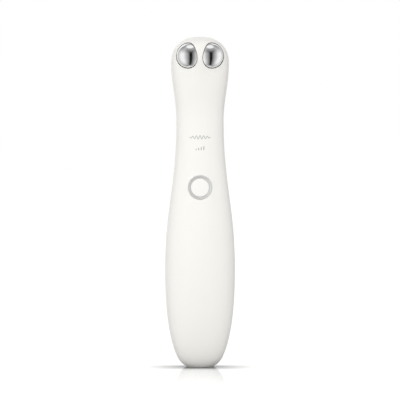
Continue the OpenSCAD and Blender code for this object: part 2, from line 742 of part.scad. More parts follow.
module motor_boot() {
    color([0.18, 0.18, 0.19]) translate([0, motor_y, boot_lo]) difference() {
        cylinder(r = motor_d / 2 + boot_wall, h = boot_len);
        translate([0, 0, -1]) cylinder(r = motor_d / 2 + PRESS, h = boot_len + 2);
    }
}

module motor_shaft() {
    color([0.6, 0.6, 0.62]) translate([0, motor_y, motor_lo + motor_len - 3.8])
        cylinder(r = shaft_r, h = 3.8 + 0.7 + weight_len + 0.3);
}

module eccentric_weight() {
    color([0.5, 0.48, 0.4]) translate([0, motor_y, weight_lo]) difference() {
        union() {
            cylinder(r = 1.2, h = weight_len);
            difference() {
                cylinder(r = weight_r, h = weight_len);
                translate([-FAR, -FAR, -1]) cube([2 * FAR, FAR, weight_len + 2]);
            }
        }
        translate([0, 0, -1]) cylinder(r = shaft_r + PRESS, h = weight_len + 2);
    }
}

socket_lo = 0.3;

module socket_shell() {
    color([0.72, 0.72, 0.74]) difference() {
        stadium(socket_w, socket_t, socket_lo, socket_lo + socket_len);
        stadium(socket_w - 0.6, socket_t - 0.6, -1, socket_lo + socket_len - 0.8);
    }
}

module socket_tongue() {
    root = socket_lo + socket_len - 0.8;
    color([0.12, 0.12, 0.13]) {
        box([-3.35, -0.35, socket_lo + 0.9], [3.35, 0.35, root]);
        box([-3.8, -0.8, root - 1.6], [3.8, 0.8, root - PRESS]);
    }
}

module charge_board() {
    color([0.1, 0.35, 0.2]) {
        difference() {
            box([-charge_x, slot_at + PRESS, 3.2], [charge_x, slot_at + charge_t, charge_hi]);
            both_sides() along_y(3.6, charge_hi - 5, 0, FAR, 0.5);
        }
    }
    color([0.12, 0.12, 0.13])
        box([-1.5, slot_at + charge_t, charge_hi - 6.5], [1.5, slot_at + charge_t + 0.9, charge_hi - 3.5]);
}

// A lead as a tube along a smooth path through the given points
function spline(a, b, c, d, t) =
    0.5 * (2 * b + (c - a) * t + (2 * a - 5 * b + 4 * c - d) * t * t + (3 * b - a - 3 * c + d) * t * t * t);
function smooth(p, n) = let (m = len(p) - 1) concat(
    [for (i = [0 : m - 1]) for (k = [0 : n - 1])
        spline(p[max(0, i - 1)], p[i], p[i + 1], p[min(m, i + 2)], k / n)],
    [p[m]]
);
function unit(v) = v / norm(v);

module lead(points, n = 4, sides = 8, d = lead_d) {
    path = smooth(points, n);
    m = len(path) - 1;
    rings = [for (i = [0 : m]) let (
            t = unit(path[min(m, i + 1)] - path[max(0, i - 1)]),
            u = unit(cross(t, abs(t[2]) > 0.9 ? [1, 0, 0] : [0, 0, 1])),
            v = cross(t, u)
        ) [for (j = [0 : sides - 1]) path[i] + d / 2 * (cos(360 * j / sides) * u + sin(360 * j / sides) * v)]];
    polyhedron(
        points = [for (r = rings) each r],
        faces = concat(
            [[for (j = [0 : sides - 1]) j]],
            [for (i = [0 : m - 1]) for (j = [0 : sides - 1]) let (
                    a = i * sides + j, b = i * sides + (j + 1) % sides
                ) each [[a, a + sides, b + sides], [a, b + sides, b]]],
            [[for (j = [sides - 1 : -1 : 0]) m * sides + j]]
        )
    );
}

module heater_leads() {
    z0 = heater_z - heater_h / 2;
    on = plate_back + heater_t + 0.2 + lead_d / 2 + 0.02;
    board_top = board_back + lead_d / 2 + head_plug_h + 0.02;
    for (s = [-1, 1]) color([0.8, 0.2, 0.15]) lead([
        [s * 3.6, on, z0 + 2.4], [s * 3.6, on, z0], [s * 3.7, plate_back + 1.3, plate_lo + 1],
        [s * 5.2, motor_y + 1.8, weight_lo + 1], [s * 6.7, motor_y, rib_rows[1] + 3],
        [s * 6.9, motor_y, rib_rows[0] - 0.5], [s * 5.6, board_top + 0.5, board_hi + 0.4],
        [s * 4.6, board_top, board_hi - 3.5]
    ]);
    for (s = [-1, 1]) color([0.85, 0.8, 0.75]) lead([
        [s * 0.42, plate_back + 1.58, cradle_screw_z], [s * 0.45, plate_back + 2.8, cradle_screw_z - 1],
        [s * 0.5, motor_y + 4.9, weight_lo + 2], [s * 0.5, motor_y + 5.4, rib_rows[1] + 2],
        [s * 0.5, motor_y + 5.4, rib_rows[0] - 1], [s * 0.7, motor_y + 3.2, motor_lo - 1.6],
        [s * 0.9, board_top + 0.8, board_hi - 0.8], [s * 0.9, board_top + 0.12, board_hi - 2.4],
        [s * 0.9, board_top, board_hi - 3.8]
    ], 4, 6, 0.7);
}

module motor_leads() {
    board_top = board_back + lead_d / 2 + head_plug_h + 0.02;
    color([0.2, 0.3, 0.75]) for (s = [-1, 1]) lead([
        [s * 2.4, motor_y, motor_lo - 0.02], [s * 2.4, motor_y - 0.1, motor_lo - 1],
        [s * 2.7, board_top + 0.4, board_hi - 0.6], [s * 2.7, board_top, board_hi - 3.5]
    ]);
}

module battery_leads() {
    on = board_back + cell_plug_h + lead_d / 2 + 0.02;
    color([0.75, 0.15, 0.12]) lead([
        [1, cell_y, cell_hi + 0.1], [1.1, cell_y, cell_hi + 1.2],
        [1.2, on + 0.6, board_lo + 0.6], [1.2, on, board_lo + 3.6]
    ]);
    color([0.12, 0.12, 0.13]) lead([
        [-1.4, cell_y + 0.6, cell_hi + 0.1], [-1.4, cell_y + 0.6, cell_hi + 1.4],
        [-1.2, on + 0.7, board_lo + 0.9], [-1.2, on, board_lo + 3.6]
    ]);
}

module charge_leads() {
    on = slot_at + charge_t + lead_d / 2 + 0.02;
    side = trough_r + lead_d / 2 + 0.1;
    color([0.8, 0.25, 0.2]) for (s = [-1, 1]) lead([
        [s * 2.4, on, cell_lo - 3.8], [s * 4.2, cell_y + 2.9, cell_lo - 2.9], [s * 6.4, cell_y + 3, cell_lo - 2.3],
        [s * 8.4, cell_y + 2.9, cell_lo - 1.6], [s * (side + 0.3), cell_y + 1.4, cell_lo + 0.6],
        [s * side, cell_y, cell_lo + 3.4], [s * side, cell_y, cell_hi - 6], [s * side, cell_y - 0.1, cell_hi + 0.8],
        [s * 8.1, cell_y - 1.8, board_lo + 2.6], [s * 6.6, board_back + 1.1, board_lo + 5.6],
        [s * 5.6, board_back + lead_d / 2 + 0.02, board_lo + 8.2]
    ], 4, 8);
}

front_shell();
rear_shell();
base_cap();
left_roller();
right_roller();
left_bush();
right_bush();
left_axle();
right_axle();
axle_clips();
roller_cradle();
cradle_screws();
heater_plate();
heat_sensor();
button_cap();
button_ring();
switch_case();
switch_plunger();
main_board();
control_chip();
power_parts();
mode_lights();
light_shield();
board_screws();
inner_frame();
frame_screws();
battery_cell();
battery_pad();
motor_can();
motor_boot();
motor_shaft();
eccentric_weight();
socket_shell();
socket_tongue();
charge_board();
heater_leads();
motor_leads();
battery_leads();
charge_leads();
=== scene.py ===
# %% [markdown]
# # A heated eye massager wand in Blender
# The wand is a slim white stick with two polished dome rollers in its head, a push button in a
# silver ring, and a flat foot that it stands on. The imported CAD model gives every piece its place.
# This lesson gives the visible pieces smooth surfaces and gives every piece a finish of its own.

import json
import math

import bmesh
import bpy
import numpy as np
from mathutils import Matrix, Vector

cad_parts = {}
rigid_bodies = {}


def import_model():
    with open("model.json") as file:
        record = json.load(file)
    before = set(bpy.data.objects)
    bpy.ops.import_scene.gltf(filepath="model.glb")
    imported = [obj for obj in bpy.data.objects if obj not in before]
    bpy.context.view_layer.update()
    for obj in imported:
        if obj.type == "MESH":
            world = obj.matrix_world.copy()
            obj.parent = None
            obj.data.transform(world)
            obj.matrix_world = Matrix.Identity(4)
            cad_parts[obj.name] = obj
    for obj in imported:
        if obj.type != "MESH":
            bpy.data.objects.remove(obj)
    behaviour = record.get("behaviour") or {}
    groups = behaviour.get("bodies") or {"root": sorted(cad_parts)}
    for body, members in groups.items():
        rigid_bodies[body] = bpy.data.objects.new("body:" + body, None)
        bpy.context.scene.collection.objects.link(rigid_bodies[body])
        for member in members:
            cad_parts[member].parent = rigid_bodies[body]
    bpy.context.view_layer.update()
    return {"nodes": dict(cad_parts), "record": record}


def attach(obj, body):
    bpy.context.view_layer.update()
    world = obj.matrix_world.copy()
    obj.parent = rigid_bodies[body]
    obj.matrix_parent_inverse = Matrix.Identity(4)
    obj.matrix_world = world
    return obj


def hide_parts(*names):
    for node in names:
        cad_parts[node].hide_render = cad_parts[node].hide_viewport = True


# Blender opens with a cube, a lamp and a camera, which have no place here.
for spare in list(bpy.data.objects):
    bpy.data.objects.remove(spare)
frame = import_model()
MM = 0.001  # one millimetre in metres

# %% [markdown]
# ## The camera
# The photograph looks straight at the front from a long way off, just above the floor. The wand
# fills 329.6 of the 400 pixels and is 155 mm tall, so one pixel is 0.47 mm at the wand.

# %% Camera
WAND_TALL, WAND_PIXELS = 155, 329.6
PICTURE, FOOT_ROW = 400, 366.8  # the picture's size and the foot's row, in pixels
PIXEL = WAND_TALL / WAND_PIXELS
CAMERA_AWAY, CAMERA_RISE = 1200.0, math.radians(2.0)
AIM_Z = (FOOT_ROW - PICTURE / 2) * PIXEL
SENSOR = 36

lens = bpy.data.cameras.new("camera")
lens.sensor_width = SENSOR
lens.lens = SENSOR * CAMERA_AWAY / (PICTURE * PIXEL)
lens.clip_start, lens.clip_end = 0.01, 50
camera = bpy.data.objects.new("camera", lens)
camera.location = (
    0,
    -CAMERA_AWAY * math.cos(CAMERA_RISE) * MM,
    (AIM_Z + CAMERA_AWAY * math.sin(CAMERA_RISE)) * MM,
)
camera.rotation_euler = (math.pi / 2 - CAMERA_RISE, 0, 0)
bpy.context.scene.collection.objects.link(camera)
bpy.context.scene.camera = camera
bpy.context.scene.view_settings.view_transform = "Standard"
print("lens in mm:", round(lens.lens, 1))

# %% [markdown]
# ## The outline of the wand
# The moulded casing is one flowing form. Seen from the front it is a rounded tail, a taper, a
# flare and a crown. Every level cut through it is a squarish ellipse. The same few numbers
# shape the CAD model, so the smooth surface here lies on the CAD one.

# %% Outline numbers, in mm
BASE_W = 15.4  # the width at the floor, before the foot's rim is rounded
BELLY_Z, BELLY_W, BELLY_D = 48.3, 33.0, 24.0  # the widest level, with its width and depth
NECK_W, NECK_D, NECK_LEAN = 22.2, 17.0, 0.8  # a lean is how far a level lies to the front
HEAD_W, HEAD_D, HEAD_LEAN = 27.1, 20.0, 2.5
TAPER, NECK, FLARE, CROWN = 64.7, 3.0, 26.5, 12.5  # the heights of the stretches above the belly
SECTION_N, CROWN_N = 2.5, 2.3  # 2 is an ellipse, and more is squarer
ROLLER_DROP = 9.2  # from the top of the wand down to the rollers' centres
BRIDGE_RISE, BRIDGE_W, BRIDGE_H = 3.3, 6.3, 9.4
BRIDGE_UP, BRIDGE_SPREAD = 4.0, 12.0
WALL, BASE_WALL = 1.6, 1.2
NECK_LO = BELLY_Z + TAPER
NECK_HI = NECK_LO + NECK
HEAD_Z = NECK_HI + FLARE
TOP_Z = HEAD_Z + CROWN
ROLLER_Z = TOP_Z - ROLLER_DROP
TAIL_REACH = BELLY_Z / (1 - (BASE_W / BELLY_W) ** SECTION_N) ** (1 / SECTION_N)


def ease(u):
    """Half a cosine wave: 0 up to u = 0, 1 from u = 1 on, level at both ends."""
    return (1 - np.cos(np.pi * np.clip(u, 0, 1))) / 2


def rounded(u, n):
    """A squarish quarter circle: the n-th root of 1 - |u| to the power n."""
    return np.clip(1 - np.abs(u) ** n, 0, None) ** (1 / n)


def squarish(u):
    """Turns an ellipse's cosine or sine into a squarish ellipse's: |u| to the power 2 / n, with
    the sign of u."""
    return np.sign(u) * np.abs(u) ** (2 / SECTION_N)


def outline(z, belly, neck, head, inset=0.0):
    """Half the width at height z: a rounded tail, two eased slopes and a rounded crown."""
    tail = (belly / 2 - inset) * rounded((BELLY_Z - z) / (TAIL_REACH - inset), SECTION_N)
    taper = (belly + (neck - belly) * ease((z - BELLY_Z) / TAPER)) / 2 - inset
    flare = (neck + (head - neck) * ease((z - NECK_HI) / FLARE)) / 2 - inset
    crown = (head / 2 - inset) * rounded((z - HEAD_Z) / (CROWN - inset), CROWN_N)
    return np.select([z < BELLY_Z, z < NECK_LO, z < HEAD_Z], [tail, taper, flare], crown)


def half_w(z, inset=0.0):
    """Half the width seen from the front."""
    return outline(z, BELLY_W, NECK_W, HEAD_W, inset)


def half_d(z, inset=0.0):
    """Half the depth seen from the side."""
    return outline(z, BELLY_D, NECK_D, HEAD_D, inset)


def mid_y(z):
    """The seam's plane leans a little to the front on its way up to the head."""
    lean = NECK_LEAN * ease((z - BELLY_Z) / TAPER)
    return -(lean + (HEAD_LEAN - lean) * ease((z - NECK_HI) / FLARE))


def front_y(x, z):
    """The front surface above the point (x, z), seen from the front, without the bridge."""
    return mid_y(z) - half_d(z) * rounded(x / half_w(z), SECTION_N)


def bridge(x, z):
    """The rise between the rollers: a bell curve in x and z that widens upwards. It fades over the
    crown and at the seam."""
    width = BRIDGE_W * np.exp((z - ROLLER_Z) / BRIDGE_SPREAD)
    bell = np.exp(-((x / width) ** 2) - ((z - ROLLER_Z - BRIDGE_UP) / BRIDGE_H) ** 2)
    at_seam = rounded(x / np.maximum(half_w(z), 1e-6), 2)
    over_crown = rounded(np.maximum(z - HEAD_Z, 0) / CROWN, 4)
    return BRIDGE_RISE * bell * at_seam * over_crown


print("widest:", float(half_w(np.array(BELLY_Z)) * 2), "mm; top:", TOP_Z, "mm")

# %% [markdown]
# ## From numbers to meshes
# A closed surface is a stack of rings. Neighbouring rings are joined by quads and the two ends
# are closed by one face each. Points that fall together, as at a pole, are merged, and then the
# faces are turned outwards.

# %% Mesh helpers


def new_piece(name, mesh):
    """Puts a mesh into the scene as an object at the origin."""
    piece = bpy.data.objects.new(name, mesh)
    bpy.context.scene.collection.objects.link(piece)
    return piece


def smooth(mesh, angle=35):
    """Shades the mesh smooth and keeps edges sharper than the angle, in degrees."""
    mesh.polygons.foreach_set("use_smooth", np.ones(len(mesh.polygons), bool))
    mesh.set_sharp_from_angle(angle=math.radians(angle))


def stacked(name, rings, angle=35):
    """rings is an array of m rings of n points in mm: point j of ring i meets j + 1 and i + 1."""
    m, n = rings.shape[:2]
    i, j = np.meshgrid(np.arange(m - 1), np.arange(n), indexing="ij")
    a, b = i * n + j, i * n + (j + 1) % n
    quads = np.stack([a, b, b + n, a + n], axis=-1).reshape(-1, 4).tolist()
    ends = [list(range(n))[::-1], list(range((m - 1) * n, m * n))]
    mesh = bpy.data.meshes.new(name)
    mesh.from_pydata((rings.reshape(-1, 3) * MM).tolist(), [], quads + ends)
    shape = bmesh.new()
    shape.from_mesh(mesh)
    bmesh.ops.remove_doubles(shape, verts=shape.verts, dist=1e-7)
    bmesh.ops.recalc_face_normals(shape, faces=shape.faces)
    shape.to_mesh(mesh)
    shape.free()
    smooth(mesh, angle)
    return new_piece(name, mesh)


def turned(name, profile, place, steps=160, angle=35):
    """Turns a profile of (radius, height) points round the local Z axis, then applies place."""
    r, h = np.array(profile, float).T
    a = 2 * np.pi * np.arange(steps) / steps
    rings = np.stack(
        [r[:, None] * np.cos(a), r[:, None] * np.sin(a), np.repeat(h[:, None], steps, 1)], axis=-1
    )
    return stacked(name, place(rings), angle)


def carve(piece, tool):
    """Cuts a tool out of a piece and throws the tool away."""
    step = piece.modifiers.new("carve", "BOOLEAN")
    step.object, step.operation, step.solver = tool, "DIFFERENCE", "EXACT"
    made = bpy.data.meshes.new_from_object(
        piece.evaluated_get(bpy.context.evaluated_depsgraph_get())
    )
    piece.modifiers.clear()
    piece.data = made
    bpy.data.objects.remove(tool)


def arc(cx, cy, r, start, end, steps):
    """Points on a circle round (cx, cy), from one angle to another, in degrees."""
    a = np.radians(np.linspace(start, end, steps))
    return list(zip(cx + r * np.cos(a), cy + r * np.sin(a)))


# %% [markdown]
# ## The two shells
# The casing is moulded in two halves that snap together along a seam down the sides. Each half
# is a smooth outer form with a hollow cut out of it. A real parting line is a hairline groove,
# so the seam's edges are eased by a tenth of a millimetre. The foot's rim is rounded widely at
# the sides and only a little at the front and the rear, where the wand needs its stance.

# %% Half forms
GROOVE = 0.11
FOOT_IN, FOOT_UP, FOOT_SHARE = 2.2, 4.0, 0.25  # the rounding's reach, height and front share
FOOT_ROWS, FOOT_TURN = 13, 1.5  # its rings, and the angle in radians where they end


def levels(rows, inset=0.0, floor=0.0):
    """Heights of the rings: evenly spread angles on the tail and the crown, even steps between."""
    reach = TAIL_REACH - inset
    foot = math.asin((BELLY_Z - floor) / reach)
    tail = BELLY_Z - reach * np.sin(np.linspace(foot, 0, rows[0], endpoint=False))
    taper = np.linspace(BELLY_Z, NECK_LO, rows[1], endpoint=False)
    flare = np.linspace(NECK_LO, HEAD_Z, rows[2], endpoint=False)
    crown = HEAD_Z + (CROWN - inset) * np.sin(np.linspace(0, np.pi / 2, rows[3]))
    return np.concatenate([tail, taper, flare, crown])


def half_form(name, side, rows, count, inset=0.0, floor=0.0, over=0.0, groove=0.0, foot=False):
    """Half of the wand as a closed form. At each level x = w squarish(cos a) and
    y = mid + d squarish(sin a). A foot draws the lowest levels in along a quarter ellipse. A
    groove eases the seam's edges, and the front's bridge is added with it. A form that only cuts
    goes `over` the seam by some millimetres."""
    z = levels(rows, inset, floor)
    if foot:
        rim = FOOT_UP * (1 - np.cos(np.linspace(0, FOOT_TURN, FOOT_ROWS)))
        z = np.concatenate([rim, z[z > FOOT_UP]])
    under = FOOT_IN * (1 - rounded(np.clip(1 - z / FOOT_UP, 0, 1), 2)) * foot
    w, d, y = half_w(z, inset) - under, half_d(z, inset) - FOOT_SHARE * under, mid_y(z)
    w, d = np.maximum(w, 0), np.maximum(d, 1e-6)
    a = np.linspace(0, np.pi, count)
    x = w[:, None] * squarish(np.cos(a))
    reach = side * d[:, None] * squarish(np.sin(a))
    if groove and side < 0:
        reach = reach - bridge(x, z[:, None])
    if groove:
        # The seam's corner gives way to a small slope, from (w - cut_x, 0) to (lip_x, cut_y).
        cut_x, cut_y = np.minimum(groove, w / 3), np.minimum(groove, d / 3)
        lip_x, lip = w * rounded(cut_y / d, SECTION_N), side * cut_y
        x[:, 0], x[:, -1] = w - cut_x, -(w - cut_x)
        x = np.column_stack([x[:, 0], lip_x, x[:, 1:-1], -lip_x, x[:, -1]])
        reach = np.column_stack([reach[:, 0], lip, reach[:, 1:-1], lip, reach[:, -1]])
    if over:
        x = np.column_stack([x[:, 0], x, x[:, -1]])
        back = np.full(len(z), -side * over)
        reach = np.column_stack([back, reach, back])
    rings = np.stack([x, y[:, None] + reach, np.repeat(z[:, None], x.shape[1], 1)], axis=-1)
    return stacked(name, rings)


# %% [markdown]
# ## The places of the rollers and the button
# Each roller turns on its own axle. The axle leans out towards the front and drops a little at
# its outer end. One function carries a shape from the roller's own axes to its place, and its
# mirror image serves the left side.

# %% Roller numbers and places
ROLLER_R, ROLLER_X, ROLLER_SUNK = 6.2, 4.7, 2.8  # sunk below the casing's front surface
ROLLER_Y = float(front_y(np.array(0.0), np.array(ROLLER_Z))) + ROLLER_SUNK
SPLAY, CANT = math.radians(21), math.radians(5.9)
ROLLER_FLAT = 1.55  # the flat inner face lies this far inside the centre
DOME_GAP, FLAT_GAP = 0.25, 0.3  # the pocket's clearance round the dome and at the flat face
CUP_WALL, WEB_WALL = 1.1, 0.9
BUSH_R = 2.59


def at_roller(side):
    """Turns local +Z to the axle's direction: about Y by 90 degrees plus the cant, then about Z."""
    turn = math.pi / 2 + CANT
    about_y = np.array(
        [[math.cos(turn), 0, math.sin(turn)], [0, 1, 0], [-math.sin(turn), 0, math.cos(turn)]]
    )
    about_z = np.array(
        [[math.cos(SPLAY), math.sin(SPLAY), 0], [-math.sin(SPLAY), math.cos(SPLAY), 0], [0, 0, 1]]
    )
    matrix = about_z @ about_y

    def place(points):
        return (points @ matrix.T + (ROLLER_X, ROLLER_Y, ROLLER_Z)) * (side, 1, 1)

    return place


def cut_ball(name, side, r, flat):
    """A ball whose inner side ends at a flat face: a circle's arc turned round the axle."""
    start = -math.degrees(math.asin(flat / r))
    return turned(name, [(0, -flat)] + arc(0, 0, r, start, 90, 60), at_roller(side), 144)


def facing_front(z, y):
    """Turns local +Z to the front and moves it to (0, y, z)."""
    return lambda points: np.stack(
        [points[..., 0], y - points[..., 2], z + points[..., 1]], axis=-1
    )


BUTTON_Z = 84.6
BUTTON_Y = float(front_y(np.array(0.0), np.array(BUTTON_Z)))
RING_R, RING_FACE, RING_SEAT, RING_PLAY = 5.6, 1.25, 1.4, 0.06
HOLE_R = RING_R - RING_FACE
LIP_ROOM, LIP_TOP = 0.85, -2  # the recess behind the hole that holds the cap's lip
print("roller centre:", ROLLER_X, round(ROLLER_Y, 2), ROLLER_Z, "button face:", round(BUTTON_Y, 2))

# %% [markdown]
# A moulded shell is as thick everywhere as its wall, so the hollow is the same form drawn in by
# the wall. Where the shell reaches inwards, as round a roller's pocket and behind the button,
# that place is first cut out of the hollow, and so it stays in the shell. The pockets, the
# button's seat and the opening in the foot are cut last.

# %% Build the shells
# How many rings the tail, taper, flare and crown have, and how many points a ring has.
SHELL_ROWS, SHELL_COUNT = (64, 60, 44, 44), 97
HOLLOW_ROWS, HOLLOW_COUNT = (20, 16, 14, 16), 41
BASE_RIM = 0.3  # the shells' standing rim round the base cap
OPENING_LOW, OPENING_TOP = -1, 2.4
# Behind the button the shell is a disc this wide and deep. Both cutting tools start in front of
# the casing, which is where their outer ends lie, and the seat's tool ends far behind it.
WELL_R, WELL_DEEP, WELL_OUT = 7, 4, 6
SEAT_BACK, SEAT_OUT = -8, 4


def foot_plate(name, inset, low, high):
    """An upright wall with the foot's outline, drawn in by inset: x = w squarish(cos a) and
    y = d squarish(sin a)."""
    a = np.linspace(0, 2 * np.pi, 96, endpoint=False)
    x = (BASE_W / 2 - inset) * squarish(np.cos(a))
    y = (float(half_d(np.array(0.0))) - inset) * squarish(np.sin(a))
    rings = np.stack([np.column_stack([x, y, np.full(len(a), z)]) for z in (low, high)])
    return stacked(name, rings)


def shell(name, side):
    """The outer half form less its hollow, the foot's opening, and the front's pockets and seat."""
    outer = half_form(name, side, SHELL_ROWS, SHELL_COUNT, groove=GROOVE, foot=True)
    hollow = half_form("hollow", side, HOLLOW_ROWS, HOLLOW_COUNT, WALL, BASE_WALL, over=1.0)
    pocket_r, pocket_flat = ROLLER_R + DOME_GAP, ROLLER_FLAT + FLAT_GAP
    at_button = facing_front(BUTTON_Z, BUTTON_Y)
    if side < 0:
        for s in (-1, 1):
            carve(hollow, cut_ball("cup", s, pocket_r + CUP_WALL, pocket_flat + WEB_WALL))
        well = [(0, -WELL_DEEP), (WELL_R, -WELL_DEEP), (WELL_R, WELL_OUT), (0, WELL_OUT)]
        carve(hollow, turned("well", well, at_button, 96))
    carve(outer, hollow)
    carve(outer, foot_plate("opening", FOOT_IN + BASE_RIM, OPENING_LOW, OPENING_TOP))
    if side < 0:
        for s in (-1, 1):
            carve(outer, cut_ball("pocket", s, pocket_r, pocket_flat))
        lip_r, seat_r = HOLE_R + LIP_ROOM, RING_R + RING_PLAY
        seat = [(0, SEAT_BACK), (lip_r, SEAT_BACK), (lip_r, LIP_TOP), (HOLE_R, LIP_TOP)]
        seat += [(HOLE_R, -RING_SEAT), (seat_r, -RING_SEAT), (seat_r, SEAT_OUT), (0, SEAT_OUT)]
        carve(outer, turned("seat", seat, at_button, 160))
    smooth(outer.data, 30)
    return outer


front = shell("front_casing", -1)
rear = shell("rear_casing", 1)
for piece, node in ((front, "front_shell"), (rear, "rear_shell")):
    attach(piece, "housing")
    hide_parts(node)
print("shell faces:", len(front.data.polygons), len(rear.data.polygons))

# %% [markdown]
# ## The rollers
# A roller is a polished zinc dome, like a ball with its inner side sliced off. The edge where
# the slice meets the ball is eased, and a blind bore takes the bush. It is a turned shape, so
# a profile carried round the axle makes it.

# %% Rollers


def roller_profile(edge=0.35, bore=BUSH_R, depth=3.65, ball=ROLLER_R - 0.01):
    """Bore floor, bore wall, flat face, an arc tangent to face and ball, then the ball itself. The
    ball is a hair smaller than the CAD one, so that its smooth surface stays inside the CAD box."""
    level = -ROLLER_FLAT + edge
    centre_r = math.sqrt((ball - edge) ** 2 - level**2)
    join = math.degrees(math.atan2(level, centre_r))
    return (
        [(0, depth), (bore, depth), (bore, -ROLLER_FLAT + 0.1), (bore + 0.1, -ROLLER_FLAT)]
        + arc(centre_r, level, edge, -90, join, 10)
        + arc(0, 0, ball, join, 90, 90)[1:]
    )


domes = []
for side, word in ((-1, "left"), (1, "right")):
    dome = turned(word + "_dome", roller_profile(), at_roller(side), 224, 40)
    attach(dome, word + "_roller_unit")
    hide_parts(word + "_roller")
    domes.append(dome)
print("faces of a roller:", len(domes[0].data.polygons))

# %% [markdown]
# ## The button
# The cap is white like the casing and nearly flush with it. A lip behind its edge keeps it from
# falling out. The silver ring round it slopes down towards the cap, which is why its upper left
# looks darker than its lower right. Both are turned shapes: heights are measured from the
# casing's surface, and below it they are negative.

# %% Button cap
CAP_PLAY, CAP_LIP, CAP_BACK = 0.08, 0.84, -2.69
CAP_HIGH, CAP_FALL = 0.1, 0.16  # the crown's height, and how much it falls to the edge
CAP_EDGE, CAP_WALL = 0.14, -0.2  # the edge's rounding, and the height where it starts
CAP_R = HOLE_R - CAP_PLAY
lip_r, lip_top = CAP_R + CAP_LIP, LIP_TOP - 0.01
crown = [(r, CAP_HIGH - CAP_FALL * (r / CAP_R) ** 2) for r in np.linspace(0, CAP_R - 0.15, 14)]
cap_profile = (
    [(0, CAP_BACK), (lip_r, CAP_BACK), (lip_r, lip_top), (CAP_R, lip_top), (CAP_R, CAP_WALL)]
    + arc(CAP_R - CAP_EDGE, CAP_WALL, CAP_EDGE, 0, 90, 8)[1:-1]
    + crown[::-1]
)
cap = turned("button_face", cap_profile, facing_front(BUTTON_Z, BUTTON_Y), 128)
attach(cap, "button")
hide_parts("button_cap")
print("cap radius:", round(CAP_R, 2), "faces:", len(cap.data.polygons))

# %% Button ring
RING_BACK, RING_WALL = -1.39, 0.03
RIM_R, INNER_R = 0.12, 0.1  # the roundings of the outer rim and of the two ends of the slope
ring_profile = (
    [(HOLE_R, RING_BACK), (RING_R, RING_BACK), (RING_R, RING_WALL)]
    + arc(RING_R - RIM_R, RING_WALL, RIM_R, 0, 90, 8)[1:]
    + arc(RING_R - 0.25, 0.05, INNER_R, 90, 105, 3)[1:]
    + [(HOLE_R + 0.13, -0.27)]
    + arc(HOLE_R + INNER_R, -0.37, INNER_R, 105, 180, 7)
)
ring_profile.append(ring_profile[0])
ring = turned("button_trim", ring_profile, facing_front(BUTTON_Z, BUTTON_Y), 160)
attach(ring, "housing")
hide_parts("button_ring")
print("ring radii:", round(HOLE_R, 2), RING_R, "faces:", len(ring.data.polygons))

# %% [markdown]
# ## The printed marks
# The casing carries two small grey prints above the button, one for each mode. They are drawn
# here as plain signs: a buzzing wave, and four bars that grow. A print is a film of ink, so
# each stroke is a flat ribbon that follows the casing and stands a hair above it.

# %% Printed marks
INK_UP, INK_DOWN = 0.015, 0.05


def stroke(name, x, z, width):
    """A ribbon along the points (x, z). Its edges lie half a width to each side, square to the
    path, and draw together at the two ends."""
    dx, dz = np.gradient(x), np.gradient(z)
    long = np.hypot(dx, dz)
    taper = np.sqrt(np.clip(1 - np.linspace(-1, 1, len(x)) ** 16, 0.02, None))
    nx, nz = -dz / long * width / 2 * taper, dx / long * width / 2 * taper
    left, right = (x + nx, z + nz), (x - nx, z - nz)
    corners = [(left, INK_UP), (right, INK_UP), (right, -INK_DOWN), (left, -INK_DOWN)]
    rings = [np.column_stack([px, front_y(px, pz) - up, pz]) for (px, pz), up in corners]
    return stacked(name, np.stack(rings, axis=1), 30)


def joined(name, parts):
    """Puts the strokes of one print into one mesh."""
    shape = bmesh.new()
    for part in parts:
        shape.from_mesh(part.data)
        bpy.data.objects.remove(part)
    mesh = bpy.data.meshes.new(name)
    shape.to_mesh(mesh)
    shape.free()
    smooth(mesh, 30)
    return new_piece(name, mesh)


WAVE_Z, WAVE_REACH, WAVE_RISE, WAVE_LINE = 108.0, 5.1, 0.8, 0.3
BARS, BARS_Z, BAR_STEP, BAR_LINE = 4, 102.0, 1.2, 0.42
BAR_TALL, BAR_GROWS = 0.7, 0.4  # the first bar's height, and what each next one adds
u, v = np.linspace(-1, 1, 121), np.linspace(0, 1, 21)
swell = np.cos(np.pi * u / 2) ** 0.6
wave_z = WAVE_Z + WAVE_RISE * swell * np.cos(6 * np.pi * u)
marks = [stroke("wave", WAVE_REACH * u, wave_z, WAVE_LINE)]
for k in range(BARS):
    bar_x = np.full(len(v), BAR_STEP * (k - (BARS - 1) / 2))
    marks.append(stroke("bar", bar_x, BARS_Z + (BAR_TALL + BAR_GROWS * k) * v, BAR_LINE))
prints = joined("mode_prints", marks)
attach(prints, "housing")
print("print faces:", len(prints.data.polygons))

# %% [markdown]
# ## Shader maths in Python
# A finish is a Principled surface fed by a few numbers that change over the surface. The small
# class below wraps such a number, so that `1 - mask * 0.5` adds the Math nodes that it needs.

# %% Signals and finishes


